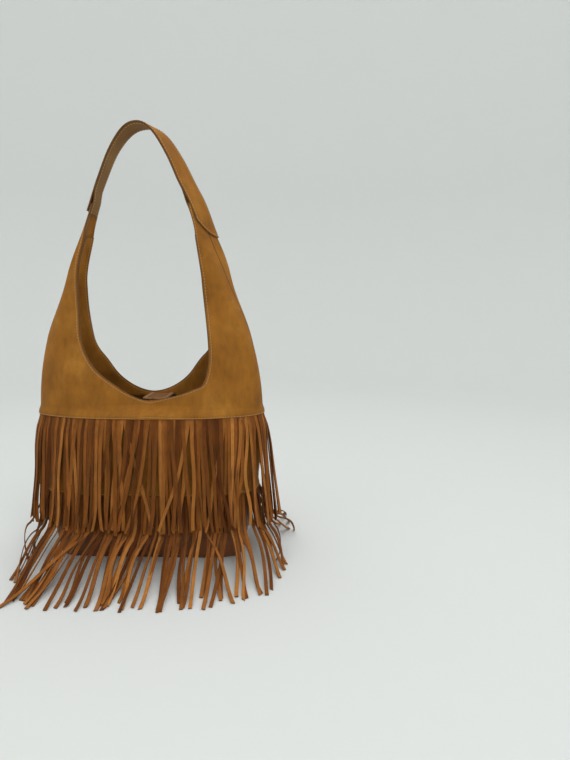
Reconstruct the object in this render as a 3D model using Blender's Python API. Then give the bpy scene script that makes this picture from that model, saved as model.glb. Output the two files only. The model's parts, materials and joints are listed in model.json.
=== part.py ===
# Fringed leather hobo bag: a scooped two-panel body on a flat base, two tiers of cut
# fringe all round, a shoulder strap sewn over four horns, and a tab closure with a snap.
# Metres, +Z up, origin at the middle of the flat base. The front of the bag faces -Y.
import math

import bmesh
import bpy
import numpy as np

# Heights of the seams and edges above the surface that the bag stands on. From the rim up, each level
# stands on the one below it.
BASE_THICKNESS = 0.004
LOWER_SEAM_HEIGHT = 0.098
UPPER_SEAM_HEIGHT = 0.210
RIM_HEIGHT = 0.021
SCOOP_CURVE_HEIGHT = 0.085
NECK_LENGTH = 0.081
HORN_LENGTH = 0.068
HORN_LAP_LENGTH = 0.040
STRAP_ARCH_HEIGHT = 0.107
RIM_LOW_HEIGHT = UPPER_SEAM_HEIGHT + RIM_HEIGHT
SHOULDER_HEIGHT = RIM_LOW_HEIGHT + SCOOP_CURVE_HEIGHT
NECK_HEIGHT = SHOULDER_HEIGHT + NECK_LENGTH
HORN_LAP_HEIGHT = NECK_HEIGHT + HORN_LENGTH
HORN_TOP_HEIGHT = HORN_LAP_HEIGHT + HORN_LAP_LENGTH
STRAP_TOP_HEIGHT = HORN_TOP_HEIGHT + STRAP_ARCH_HEIGHT

# Outline of the body, across its width and its depth
BASE_WIDTH = 0.270
LOWER_SEAM_WIDTH = 0.312
UPPER_SEAM_WIDTH = 0.330
SHOULDER_WIDTH = 0.299
NECK_WIDTH = 0.234
LAP_WIDTH = 0.178
HORN_TOP_WIDTH = 0.148
BASE_DEPTH = 0.098
LOWER_SEAM_DEPTH = 0.114
UPPER_SEAM_DEPTH = 0.120
SHOULDER_DEPTH = 0.092
NECK_DEPTH = 0.068
LAP_DEPTH = 0.048
HORN_TOP_DEPTH = 0.044

# How square each level is: 2 is an ellipse, more is nearer a rectangle
BASE_SQUARENESS = 6.0
LOWER_SEAM_SQUARENESS = 3.0
UPPER_SEAM_SQUARENESS = 2.2
SHOULDER_SQUARENESS = 2.5
NECK_SQUARENESS = 4.0
HORN_SQUARENESS = 12.0

# The closure draws the middle of both rims inwards
RIM_DRAW = 0.20
RIM_DRAW_WIDTH = 0.055

# The two scoops, as half the distance between the horns' inner edges at each level, and how far
# each horn wraps round from the side onto the front or back where the strap laps it and at its tip.
# The curves below the shoulders are given as shares of the half distance and of the curve's height.
FRONT_SCOOP_SHIFT = 0.008
SCOOP_SHOULDER_HALF = 0.093
FRONT_SCOOP_NECK_HALF = 0.095
BACK_SCOOP_NECK_HALF = 0.100
FRONT_LEFT_CURVE = ((0.20, 0.05), (0.47, 0.22), (0.83, 0.55))
FRONT_RIGHT_CURVE = ((0.33, 0.06), (0.65, 0.17), (0.88, 0.33))
BACK_CURVE = ((0.30, 0.08), (0.57, 0.28), (0.77, 0.57))
HORN_LAP_WRAP = 0.0044
HORN_TOP_WRAP = 0.0012
YOKE_SIDE_SHARE = 0.36

# Leather, lining and the gaps between layers that lie on each other
PANEL_THICKNESS = 0.0014
FACING_THICKNESS = 0.0012
LINING_THICKNESS = 0.0006
SEAM_GAP = 0.0003
LAYER_GAP = 0.0008
FACING_EASE = 0.0017
LINING_EASE = 0.0013
FACING_WIDTH = 0.034
FACING_SPREAD = 0.30
FACING_LAP = 0.010
FACING_TRIM = 1.06
LINING_RISE_POWER = 2.88
BASE_EDGE_DRAW = 0.001

# Fringe
FRINGE_THICKNESS = 0.0013
STRIPS_PER_SIDE = 40
STRIP_SHARE = 0.80
HEADER_HEIGHT = 0.007
UPPER_FRINGE_LENGTH = 0.165
UPPER_FRINGE_FLARE = 0.016
LOWER_FRINGE_REACH = 0.145
LOWER_FRINGE_LEFT_REACH = 0.020
LOWER_FRINGE_RIGHT_REACH = 0.055
LOWER_FRINGE_SWEEP = 0.070
LOWER_FRINGE_SPREAD = 0.12
TIER_GAP = 0.004
LOWER_FRINGE_BREAK_HEIGHT = UPPER_SEAM_HEIGHT - UPPER_FRINGE_LENGTH - TIER_GAP
FRINGE_STEP = 0.0009
STRIP_SWAY = 0.007
TIP_RAGGEDNESS = 0.008

# How the strips hang: where an upper strip has its rings, as shares of its length, how a lower strip
# bends out below the upper tips to the floor, as shares of its reach and of its break height, and how
# fast its reach falls off towards the side seams. A wave is a rate and a phase along the tier.
UPPER_STRIP_RINGS = (0.0, 0.30, 0.65, 1.0)
LOWER_STRIP_BEND = ((0.05, 1.0), (0.26, 0.76), (0.56, 0.38), (0.82, 0.10), (1.0, 0.0))
LOWER_REACH_POWER = 1.5
UPPER_SWAY_WAVE = (3.0, 0.6)
UPPER_TIP_WAVE = (7.0, 0.0)
LOWER_SWAY_WAVE = (2.0, 1.4)
LOWER_TIP_WAVE = (5.0, 1.0)

# Strap, with its arch given as shares of the half distance between the horns and of the arch's height
STRAP_WIDTH = 0.036
STRAP_THICKNESS = 0.0016
STRAP_LINING_THICKNESS = 0.0010
STRAP_STEPS = 36
STRAP_LEFT_ARCH = ((0.82, 0.32), (0.58, 0.68), (0.29, 0.93))
STRAP_RIGHT_ARCH = ((0.29, 0.90), (0.58, 0.60), (0.80, 0.28))
LEFT_TWIST = math.radians(-4)
RIGHT_TWIST = math.radians(30)
TWIST_START_HEIGHT = 0.260

# Closure tabs and the magnetic snap between them
TAB_WIDTH = 0.038
TAB_THICKNESS = 0.0022
TAB_DROP = 0.0025
TAB_CENTRE = 0.006
TAB_OVERLAP = 0.030
TAB_CORNER_RADIUS = 0.0127
SNAP_RADIUS = 0.0085
SNAP_HALF_THICKNESS = 0.0015
SNAP_PIN_RADIUS = 0.0022
SNAP_HOLE_RADIUS = 0.0032
SNAP_PIN_LENGTH = 0.0014

# Mesh fineness
PANEL_COLUMNS = 24
PANEL_ROWS = 4
LINING_ROWS = 6
YOKE_STEPS = 52
YOKE_ROWS = 5
FACING_ROWS = 5
ROUND_SEGMENTS = 28
TAB_CORNER_STEPS = 8
SHARP_EDGE_ANGLE = math.radians(35)


def clear_scene():
    for item in list(bpy.data.objects):
        bpy.data.objects.remove(item, do_unlink=True)


def material(name, colour, roughness, metallic=0.0):
    made = bpy.data.materials.new(name)
    made.use_nodes = True
    shader = made.node_tree.nodes["Principled BSDF"]
    shader.inputs["Base Color"].default_value = (*colour, 1.0)
    shader.inputs["Roughness"].default_value = roughness
    shader.inputs["Metallic"].default_value = metallic
    made.diffuse_color = (*colour, 1.0)
    return made


def smooth_step(value):
    held = np.clip(value, 0.0, 1.0)
    return held * held * (3.0 - 2.0 * held)


def curve_through(knots, values, at):
    """A smooth curve through values at rising knots, which never overshoots between two of them."""
    knots, values = np.asarray(knots, float), np.asarray(values, float)
    slopes = np.diff(values) / np.diff(knots)
    tangents = np.concatenate([slopes[:1], (slopes[:-1] + slopes[1:]) / 2, slopes[-1:]])
    turning = slopes[:-1] * slopes[1:] <= 0
    tangents[1:-1][turning] = 0.0
    at = np.clip(at, knots[0], knots[-1])
    span = np.clip(np.searchsorted(knots, at, side="right") - 1, 0, len(slopes) - 1)
    step = knots[span + 1] - knots[span]
    t = (at - knots[span]) / step
    start = (1 + 2 * t) * (1 - t) ** 2 * values[span] + t * (1 - t) ** 2 * step * tangents[span]
    end = t * t * (3 - 2 * t) * values[span + 1] + t * t * (t - 1) * step * tangents[span + 1]
    return start + end


LEVELS = (0.0, LOWER_SEAM_HEIGHT, UPPER_SEAM_HEIGHT, SHOULDER_HEIGHT, NECK_HEIGHT, HORN_LAP_HEIGHT,
          HORN_TOP_HEIGHT)
WIDTHS = (BASE_WIDTH, LOWER_SEAM_WIDTH, UPPER_SEAM_WIDTH, SHOULDER_WIDTH, NECK_WIDTH, LAP_WIDTH,
          HORN_TOP_WIDTH)
DEPTHS = (BASE_DEPTH, LOWER_SEAM_DEPTH, UPPER_SEAM_DEPTH, SHOULDER_DEPTH, NECK_DEPTH, LAP_DEPTH,
          HORN_TOP_DEPTH)
SQUARENESSES = (BASE_SQUARENESS, LOWER_SEAM_SQUARENESS, UPPER_SEAM_SQUARENESS, SHOULDER_SQUARENESS,
                NECK_SQUARENESS, HORN_SQUARENESS, HORN_SQUARENESS)


def half_width(height):
    return curve_through(LEVELS, WIDTHS, height) / 2


def half_depth(height):
    return curve_through(LEVELS, DEPTHS, height) / 2


def squareness(height):
    return curve_through(LEVELS, SQUARENESSES, height)


def twisted(points):
    """Turns the horns and the strap a little about the upright, the right side more than the left."""
    x, y, z = np.moveaxis(np.asarray(points, float), -1, 0)
    rise = smooth_step((z - TWIST_START_HEIGHT) / (HORN_LAP_HEIGHT - TWIST_START_HEIGHT))
    across = smooth_step((x + HORN_TOP_WIDTH / 2) / HORN_TOP_WIDTH)
    angle = rise * (LEFT_TWIST + (RIGHT_TWIST - LEFT_TWIST) * across)
    return np.stack([x + y * np.sin(angle), y * np.cos(angle), z], axis=-1)


def body_point(angle, height, inset=0.0, side=-1):
    """A point on the body, inset from its outer surface. The angle is 0 at the right side seam,
    a quarter turn at the middle of the front (side -1) or the back (side 1), and half a turn at the left."""
    angle, height = np.asarray(angle, float), np.asarray(height, float)
    power = 2.0 / squareness(height)
    cosine = np.cos(angle)
    x = (half_width(height) - inset) * np.sign(cosine) * np.abs(cosine) ** power
    y = (half_depth(height) - inset) * np.abs(np.sin(angle)) ** power
    drawn = np.exp(-((x / RIM_DRAW_WIDTH) ** 2))
    draw_height = RIM_LOW_HEIGHT - 2 * TAB_DROP
    drawn = drawn * smooth_step((height - UPPER_SEAM_HEIGHT) / (draw_height - UPPER_SEAM_HEIGHT))
    y = side * y * (1.0 - RIM_DRAW * drawn)
    return twisted(np.stack(np.broadcast_arrays(x, y, height), axis=-1))


def angle_of(x, height):
    ratio = np.clip(np.abs(x) / half_width(height), 0.0, 1.0) ** (squareness(height) / 2.0)
    return np.arccos(np.sign(x) * ratio)


def scoop_half(curve, neck_half):
    """Points up one half of a scoop's edge, from beside its lowest point to the horn's tip."""
    points = []
    for across, up in curve:
        points.append((SCOOP_SHOULDER_HALF * across, RIM_LOW_HEIGHT + SCOOP_CURVE_HEIGHT * up))
    points += [
        (SCOOP_SHOULDER_HALF, SHOULDER_HEIGHT),
        (neck_half, NECK_HEIGHT),
        (LAP_WIDTH / 2 - HORN_LAP_WRAP, HORN_LAP_HEIGHT),
        (HORN_TOP_WIDTH / 2 - HORN_TOP_WRAP, HORN_TOP_HEIGHT),
    ]
    return points


def scoop_outline(side, steps, trim=0.0):
    """The scoop's edge from the left horn's tip round to the right horn's tip, as angles and heights.
    A trim of 1 leaves out the part of each horn under the strap's lap."""
    if side < 0:
        shift = FRONT_SCOOP_SHIFT
        left = scoop_half(FRONT_LEFT_CURVE, FRONT_SCOOP_NECK_HALF)
        right = scoop_half(FRONT_RIGHT_CURVE, FRONT_SCOOP_NECK_HALF)
    else:
        shift = -FRONT_SCOOP_SHIFT
        left = right = scoop_half(BACK_CURVE, BACK_SCOOP_NECK_HALF)
    points = [(-x, z) for x, z in reversed(left)] + [(0.0, RIM_LOW_HEIGHT)] + right
    knots = np.arange(len(points))
    at = np.linspace(trim, len(points) - 1 - trim, steps + 1)
    x = curve_through(knots, [p[0] for p in points], at)
    z = curve_through(knots, [p[1] for p in points], at)
    lean = 1.0 - smooth_step((z - RIM_LOW_HEIGHT) / (NECK_HEIGHT - RIM_LOW_HEIGHT))
    return angle_of(x + shift * lean, z), z


def seam_outline(steps, corner_height):
    """The yoke's outer edge: down the left side seam, along the bottom seam and up the right side."""
    at = np.linspace(0.0, 1.0, steps + 1)
    down = np.clip(at / YOKE_SIDE_SHARE, 0.0, 1.0)
    up = np.clip((1.0 - at) / YOKE_SIDE_SHARE, 0.0, 1.0)
    z = HORN_TOP_HEIGHT + (corner_height - HORN_TOP_HEIGHT) * np.minimum(down, up)
    along = np.clip((at - YOKE_SIDE_SHARE) / (1.0 - 2.0 * YOKE_SIDE_SHARE), 0.0, 1.0)
    return math.pi * (1.0 - along), z


def facing_outline(scoop_angles, scoop_heights):
    """The facing's outer edge: the side seams at the top, then a curve that keeps its width below."""
    lift = smooth_step((scoop_heights - SHOULDER_HEIGHT) / (NECK_HEIGHT - SHOULDER_HEIGHT))
    centred = scoop_angles - math.pi / 2
    spread = FACING_WIDTH / half_depth(scoop_heights)
    angles = math.pi / 2 + np.clip(centred * (1.0 + FACING_SPREAD * spread), -math.pi / 2, math.pi / 2)
    edge = np.where(centred > 0, math.pi, 0.0)
    angles = angles + (edge - angles) * lift
    heights = scoop_heights - FACING_WIDTH * (1.0 - lift)
    return angles, heights


def sheet_mesh(outer, inner):
    """A closed sheet between two grids of points of the same size."""
    rows, columns = outer.shape[:2]
    count = rows * columns
    points = [tuple(p) for p in outer.reshape(-1, 3)] + [tuple(p) for p in inner.reshape(-1, 3)]
    faces = []
    for row in range(rows - 1):
        for column in range(columns - 1):
            a = row * columns + column
            b, c, d = a + 1, a + columns + 1, a + columns
            faces.append((a, b, c, d))
            faces.append((a + count, d + count, c + count, b + count))
    rim = list(range(columns))
    rim += [row * columns + columns - 1 for row in range(1, rows)]
    rim += [(rows - 1) * columns + column for column in range(columns - 2, -1, -1)]
    rim += [row * columns for row in range(rows - 2, 0, -1)]
    for here, ahead in zip(rim, rim[1:] + rim[:1]):
        faces.append((ahead, here, here + count, ahead + count))
    return points, faces


def add_part(name, points, faces, look, origin=(0.0, 0.0, 0.0), parent=None):
    """Makes the object with its faces turned outwards. Its points are given in the bag's frame,
    and its origin is where it, or the parent that it moves with, turns."""
    mesh = bpy.data.meshes.new(name)
    mesh.from_pydata([tuple(float(v) - o for v, o in zip(p, origin)) for p in points], [], faces)
    shape = bmesh.new()
    shape.from_mesh(mesh)
    bmesh.ops.recalc_face_normals(shape, faces=shape.faces)
    shape.to_mesh(mesh)
    shape.free()
    mesh.materials.append(look)
    mesh.shade_smooth()
    mesh.set_sharp_from_angle(angle=SHARP_EDGE_ANGLE)
    made = bpy.data.objects.new(name, mesh)
    bpy.context.scene.collection.objects.link(made)
    if parent:
        made.parent = parent
    else:
        made.location = origin
    return made


def add_sheet(name, angles, heights, inset, thickness, side, look):
    outer = body_point(angles, heights, inset, side)
    inner = body_point(angles, heights, inset + thickness, side)
    return add_part(name, *sheet_mesh(outer, inner), look)


def between(start, end, rows):
    share = np.linspace(0.0, 1.0, rows + 1)[:, None]
    return start[None, :] * (1.0 - share) + end[None, :] * share


def inside_side_seams(angles, heights):
    """Holds a panel back from the two side seams by half the seam's gap."""
    clearance = SEAM_GAP / half_depth(heights)
    power = squareness(heights) / 2.0
    least = np.arcsin(np.clip(clearance, 0.0, 1.0) ** power)
    return np.clip(angles, least, math.pi - least)


def add_yoke(name, side, look):
    scoop_angles, scoop_heights = scoop_outline(side, YOKE_STEPS)
    seam_angles, seam_heights = seam_outline(YOKE_STEPS, UPPER_SEAM_HEIGHT + SEAM_GAP)
    heights = between(scoop_heights, seam_heights, YOKE_ROWS)
    angles = inside_side_seams(between(scoop_angles, seam_angles, YOKE_ROWS), heights)
    return add_sheet(name, angles, heights, 0.0, PANEL_THICKNESS, side, look)


def add_facing(name, side, look):
    scoop_angles, scoop_heights = scoop_outline(side, YOKE_STEPS, FACING_TRIM)
    lower_angles, lower_heights = facing_outline(scoop_angles, scoop_heights)
    heights = between(scoop_heights, lower_heights, FACING_ROWS)
    angles = inside_side_seams(between(scoop_angles, lower_angles, FACING_ROWS), heights)
    ease = np.full((FACING_ROWS + 1, 1), FACING_EASE)
    ease[0] = SEAM_GAP
    return add_sheet(name, angles, heights, PANEL_THICKNESS + ease, FACING_THICKNESS, side, look)


def add_band(name, low, high, rows, inset, thickness, side, look):
    """A panel of the whole front or back between two heights, which may differ along it."""
    columns = np.linspace(0.0, math.pi, PANEL_COLUMNS + 1)
    low, high = np.broadcast_to(low, columns.shape), np.broadcast_to(high, columns.shape)
    heights = between(low, high, rows)
    angles = inside_side_seams(np.broadcast_to(columns, heights.shape), heights)
    return add_sheet(name, angles, heights, inset, thickness, side, look)


def lining_top():
    """The lining's upper edge at each column: low in the middle, rising to the side seams."""
    columns = np.linspace(0.0, math.pi, PANEL_COLUMNS + 1)
    middle = RIM_LOW_HEIGHT - FACING_WIDTH + FACING_LAP
    side = (SHOULDER_HEIGHT + NECK_HEIGHT) / 2
    return middle + (side - middle) * np.abs(np.cos(columns)) ** LINING_RISE_POWER


def add_plate(name, low, high, inset, look):
    """A flat plate of the base's outline, with its lower edge drawn in."""
    turns = np.linspace(0.0, 2.0 * math.pi, 2 * PANEL_COLUMNS, endpoint=False)
    rings = []
    for height, extra in ((low, BASE_EDGE_DRAW), (low + (high - low) / 3, 0.0), (high, 0.0)):
        side = np.where(turns < math.pi, 1, -1)
        folded = np.where(turns < math.pi, turns, 2.0 * math.pi - turns)
        ring = body_point(folded, np.zeros_like(turns), inset + extra, side)
        ring[:, 2] = height
        rings.append(ring)
    count = len(turns)
    faces = [tuple(range(count)), tuple(range(2 * count, 3 * count))]
    for row in range(2):
        for column in range(count):
            ahead = (column + 1) % count
            faces.append((row * count + column, row * count + ahead,
                          (row + 1) * count + ahead, (row + 1) * count + column))
    return add_part(name, np.concatenate(rings), faces, look)


def strip_angles(height, count):
    """The angles of both edges of each strip, evenly spaced along the front of the body at this height."""
    fine = np.linspace(0.0, math.pi, 400)
    points = body_point(fine, np.full_like(fine, height))
    along = np.concatenate([[0.0], np.cumsum(np.linalg.norm(np.diff(points, axis=0), axis=1))])
    clearance = SEAM_GAP + FRINGE_THICKNESS
    pitch = (along[-1] - 2 * clearance) / count
    middles = clearance + pitch * (np.arange(count) + 0.5)
    half = pitch * STRIP_SHARE / 2
    return np.interp(np.stack([middles - half, middles + half], axis=-1), along, fine)


def outward(angle, height, side):
    """The level unit vector that points away from the body at this angle."""
    step = 0.01
    ahead = body_point(min(angle + step, math.pi), height, 0.0, side)
    behind = body_point(max(angle - step, 0.0), height, 0.0, side)
    run = ahead - behind
    normal = np.array([-run[1], run[0], 0.0]) * side
    normal = normal / np.linalg.norm(normal)
    return normal * (1.0 if normal[1] * side >= 0 else -1.0)


def wave(turn, rate_and_phase):
    rate, phase = rate_and_phase
    return math.sin(rate * turn + phase)


def upper_strip_path(root, normal, along, turn):
    """Points down the middle of an upper strip, as it hangs clear of the body."""
    length = UPPER_FRINGE_LENGTH - TIP_RAGGEDNESS * (0.5 + 0.5 * wave(turn, UPPER_TIP_WAVE))
    sway = STRIP_SWAY * wave(turn, UPPER_SWAY_WAVE) * math.sin(turn)
    path = []
    for share in UPPER_STRIP_RINGS:
        flare = UPPER_FRINGE_FLARE * share ** 0.8
        drop = HEADER_HEIGHT + (length - HEADER_HEIGHT) * share
        path.append(root + normal * flare + along * sway * share ** 1.5 - np.array([0, 0, drop]))
    return path


def lower_strip_path(root, normal, along, turn):
    """Points down the middle of a lower strip: down behind the upper tier to its break, then out to
    the floor. Near the side seams it sweeps forwards, or backwards on the back, more than sideways."""
    sideways, forward = abs(normal[0]), abs(normal[1])
    side_reach = LOWER_FRINGE_RIGHT_REACH if normal[0] > 0 else LOWER_FRINGE_LEFT_REACH
    reach = LOWER_FRINGE_REACH - TIP_RAGGEDNESS * (0.5 + 0.5 * wave(turn, LOWER_TIP_WAVE))
    reach = reach * forward ** LOWER_REACH_POWER + LOWER_FRINGE_SWEEP * sideways
    spread = LOWER_FRINGE_SPREAD * root[0] * forward
    sway = STRIP_SWAY * wave(turn, LOWER_SWAY_WAVE) * math.sin(turn)
    run = np.array([normal[0] * side_reach + spread, math.copysign(reach, root[1]), 0]) + along * sway
    lie = FRINGE_THICKNESS / 2 + SEAM_GAP
    path = [root - np.array([0, 0, HEADER_HEIGHT])]
    for share, rise in LOWER_STRIP_BEND:
        point = root + run * share
        height = lie + (LOWER_FRINGE_BREAK_HEIGHT - lie) * rise
        path.append(np.array([point[0], point[1], height]))
    return path


def add_fringe(name, side, root_height, path_of, look):
    """One tier on one side: a header sewn under the seam, cut into strips below it."""
    points, faces = [], []

    def corners(middle, across, off):
        start = len(points)
        points.extend([middle - across - off, middle + across - off])
        points.extend([middle + across + off, middle - across + off])
        return start

    headers = []
    for index, (first, last) in enumerate(strip_angles(root_height, STRIPS_PER_SIDE)):
        centre_angle = (first + last) / 2
        normal = outward(centre_angle, root_height, side)
        lift = FRINGE_STEP + FRINGE_THICKNESS / 2
        left = body_point(first, root_height, -lift, side)
        right = body_point(last, root_height, -lift, side)
        width = np.linalg.norm(right - left)
        along = (right - left) / width
        half = along * width / 2
        off = normal * FRINGE_THICKNESS / 2
        root = (left + right) / 2
        turn = math.pi * (index + 0.5) / STRIPS_PER_SIDE
        path = path_of(root, normal, along, turn)
        top = corners(root - np.array([0, 0, SEAM_GAP]), half, off)
        rings = [corners(path[0], half, off)]
        for step, middle in enumerate(path[1:], start=1):
            ahead = path[min(step + 1, len(path) - 1)] - path[step - 1]
            thick = np.cross(along, ahead)
            thick = thick / np.linalg.norm(thick) * FRINGE_THICKNESS / 2
            thick = thick if thick @ normal >= 0 or thick[2] > 0 else -thick
            rings.append(corners(middle, half, thick))
        headers.append((top, rings[0]))
        chain = [top] + rings
        for upper, lower in zip(chain, chain[1:]):
            sides = (0, 2) if upper == top else (0, 1, 2, 3)
            for edge in sides:
                ahead = (edge + 1) % 4
                faces.append((upper + edge, upper + ahead, lower + ahead, lower + edge))
        tip = rings[-1]
        faces.append((tip, tip + 1, tip + 2, tip + 3))
        faces.append((top + 3, top + 2, top + 1, top))
    for (top_a, low_a), (top_b, low_b) in zip(headers, headers[1:]):
        faces.append((top_a + 1, top_b, low_b, low_a + 1))
        faces.append((top_b + 3, top_a + 2, low_a + 2, low_b + 3))
        faces.append((top_a + 2, top_b + 3, top_b, top_a + 1))
        faces.append((low_a + 1, low_b, low_b + 3, low_a + 2))
    (top, low), (top_end, low_end) = headers[0], headers[-1]
    faces.append((top + 3, top, low, low + 3))
    faces.append((top_end + 1, top_end + 2, low_end + 2, low_end + 1))
    return add_part(name, points, faces, look)


def strap_centre(share):
    """The strap's middle line before it is twisted, from the left lap (0) to the right lap (1)."""
    top_half = HORN_TOP_WIDTH / 2
    points = [(-half_width(HORN_LAP_HEIGHT), HORN_LAP_HEIGHT), (-top_half, HORN_TOP_HEIGHT)]
    points += [(-top_half * x, HORN_TOP_HEIGHT + STRAP_ARCH_HEIGHT * z) for x, z in STRAP_LEFT_ARCH]
    points += [(0.0, STRAP_TOP_HEIGHT)]
    points += [(top_half * x, HORN_TOP_HEIGHT + STRAP_ARCH_HEIGHT * z) for x, z in STRAP_RIGHT_ARCH]
    points += [(top_half, HORN_TOP_HEIGHT), (half_width(HORN_LAP_HEIGHT), HORN_LAP_HEIGHT)]
    knots = np.linspace(0.0, 1.0, len(points))
    x = curve_through(knots, [p[0] for p in points], share)
    z = curve_through(knots, [p[1] for p in points], share)
    return x, z


def add_strap(name, inset, thickness, width, look):
    """A ribbon along the strap's line. A negative inset lies outside the horns, a positive one inside."""
    share = np.linspace(0.0, 1.0, STRAP_STEPS + 1)
    x, z = strap_centre(share)
    run = np.stack([np.gradient(x), np.gradient(z)], axis=-1)
    run = run / np.linalg.norm(run, axis=1)[:, None]
    inward = np.stack([run[:, 1], -run[:, 0]], axis=-1)
    grids = []
    for depth in (inset, inset + thickness):
        edge = [np.stack([x + inward[:, 0] * depth, np.full_like(x, y), z + inward[:, 1] * depth], axis=-1)
                for y in (-width / 2, 0.0, width / 2)]
        grids.append(twisted(np.stack(edge)))
    return add_part(name, *sheet_mesh(*grids), look)


def tab_room(side, top):
    """How far a tab may reach from the middle plane before it meets the facing."""
    inset = PANEL_THICKNESS + FACING_EASE + FACING_THICKNESS
    x = TAB_CENTRE + np.linspace(-TAB_WIDTH / 2, TAB_WIDTH / 2, 5)[:, None]
    height = np.array([[top, top - TAB_THICKNESS]])
    surface = body_point(angle_of(x, height), np.broadcast_to(height, (5, 2)), inset, side)
    return np.abs(surface[..., 1]).min() - SEAM_GAP


def add_tab(name, root, tip, top, look):
    """A flat tab from its root at y = root, where it turns, to a rounded tip at y = tip."""
    direction = 1.0 if tip > root else -1.0
    half = TAB_WIDTH / 2
    corner = TAB_CORNER_RADIUS
    outline = [(-half, root), (half, root)]
    for middle, start in ((half - corner, 0.0), (corner - half, math.pi / 2)):
        for step in range(TAB_CORNER_STEPS + 1):
            turn = start + math.pi / 2 * step / TAB_CORNER_STEPS
            y = tip - direction * corner * (1 - math.sin(turn))
            outline.append((middle + corner * math.cos(turn), y))
    count = len(outline)
    points = [(TAB_CENTRE + x, y, level) for level in (top, top - TAB_THICKNESS) for x, y in outline]
    faces = [tuple(range(count)), tuple(range(2 * count - 1, count - 1, -1))]
    for index in range(count):
        ahead = (index + 1) % count
        faces.append((index, ahead, ahead + count, index + count))
    return add_part(name, points, faces, look, origin=(TAB_CENTRE, root, top))


def add_turned(name, profile, look, origin=(0.0, 0.0, 0.0), parent=None):
    """A round piece turned from (radius, height) pairs, which form a closed loop or end on the axis."""
    closed = all(radius > 0 for radius, _ in profile)
    points, faces, rings = [], [], []
    for radius, height in profile:
        if radius == 0:
            rings.append([len(points)] * ROUND_SEGMENTS)
            points.append((TAB_CENTRE, 0.0, height))
            continue
        rings.append(list(range(len(points), len(points) + ROUND_SEGMENTS)))
        for step in range(ROUND_SEGMENTS):
            turn = 2 * math.pi * step / ROUND_SEGMENTS
            points.append((TAB_CENTRE + radius * math.cos(turn), radius * math.sin(turn), height))
    pairs = list(zip(rings, rings[1:])) + ([(rings[-1], rings[0])] if closed else [])
    for upper, lower in pairs:
        for step in range(ROUND_SEGMENTS):
            ahead = (step + 1) % ROUND_SEGMENTS
            corners = [upper[step], upper[ahead], lower[ahead], lower[step]]
            faces.append(tuple(dict.fromkeys(corners)))
    return add_part(name, points, faces, look, origin, parent)


def add_closure(leather, metal):
    """Two tabs that meet over the opening, with the two halves of a snap between them."""
    upper_top = RIM_LOW_HEIGHT - TAB_DROP
    lower_top = upper_top - TAB_THICKNESS - 2 * SNAP_HALF_THICKNESS - SEAM_GAP * 3
    back_root = tab_room(1, upper_top)
    front_root = -tab_room(-1, lower_top)
    closure = add_tab("closure_tab", back_root, -TAB_OVERLAP / 2, upper_top, leather)
    add_tab("catch_tab", front_root, TAB_OVERLAP / 2, lower_top, leather)
    stud_top = upper_top - TAB_THICKNESS - SEAM_GAP
    stud_low = stud_top - SNAP_HALF_THICKNESS
    stud = [(0, stud_top), (SNAP_RADIUS, stud_top), (SNAP_RADIUS, stud_low), (SNAP_PIN_RADIUS, stud_low),
            (SNAP_PIN_RADIUS, stud_low - SNAP_PIN_LENGTH), (0, stud_low - SNAP_PIN_LENGTH)]
    socket_top = stud_low - SEAM_GAP
    socket_low = socket_top - SNAP_HALF_THICKNESS
    socket = [(SNAP_HOLE_RADIUS, socket_top), (SNAP_RADIUS, socket_top), (SNAP_RADIUS, socket_low),
              (SNAP_HOLE_RADIUS, socket_low)]
    add_turned("snap_stud", stud, metal, origin=closure.location, parent=closure)
    add_turned("snap_socket", socket, metal)


def build():
    clear_scene()
    tan = material("tan_nubuck", (0.46, 0.24, 0.065), 0.75)
    suede = material("brown_suede", (0.32, 0.14, 0.045), 0.9)
    smooth = material("brown_leather", (0.24, 0.09, 0.03), 0.6)
    grey_suede = material("grey_brown_suede", (0.28, 0.19, 0.11), 0.9)
    cloth = material("lining_cloth", (0.07, 0.035, 0.015), 0.55)
    metal = material("snap_metal", (0.55, 0.52, 0.45), 0.3, 1.0)
    for label, side in (("front", -1), ("back", 1)):
        add_yoke(f"{label}_yoke", side, tan)
        add_band(f"{label}_mid_panel", LOWER_SEAM_HEIGHT + SEAM_GAP, UPPER_SEAM_HEIGHT - SEAM_GAP,
                 PANEL_ROWS, 0.0, PANEL_THICKNESS, side, tan)
        add_band(f"{label}_lower_panel", BASE_THICKNESS + SEAM_GAP, LOWER_SEAM_HEIGHT - SEAM_GAP,
                 PANEL_ROWS, 0.0, PANEL_THICKNESS, side, smooth)
        add_facing(f"{label}_facing", side, tan)
        lining_inset = PANEL_THICKNESS + FACING_EASE + FACING_THICKNESS + LINING_EASE
        add_band(f"{label}_lining", BASE_THICKNESS + 2 * SEAM_GAP + LINING_THICKNESS, lining_top(),
                 LINING_ROWS, lining_inset, LINING_THICKNESS, side, cloth)
        add_fringe(f"{label}_upper_fringe", side, UPPER_SEAM_HEIGHT, upper_strip_path, suede)
        add_fringe(f"{label}_lower_fringe", side, LOWER_SEAM_HEIGHT, lower_strip_path, suede)
    add_plate("base_panel", 0.0, BASE_THICKNESS, 0.0, smooth)
    add_plate("base_lining", BASE_THICKNESS + SEAM_GAP, BASE_THICKNESS + SEAM_GAP + LINING_THICKNESS,
              PANEL_THICKNESS + FACING_THICKNESS, cloth)
    add_strap("strap", -SEAM_GAP - STRAP_THICKNESS, STRAP_THICKNESS, STRAP_WIDTH, tan)
    add_strap("strap_lining", PANEL_THICKNESS + 2 * LAYER_GAP, STRAP_LINING_THICKNESS,
              STRAP_WIDTH - 2 * SEAM_GAP, grey_suede)
    add_closure(tan, metal)


build()
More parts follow.
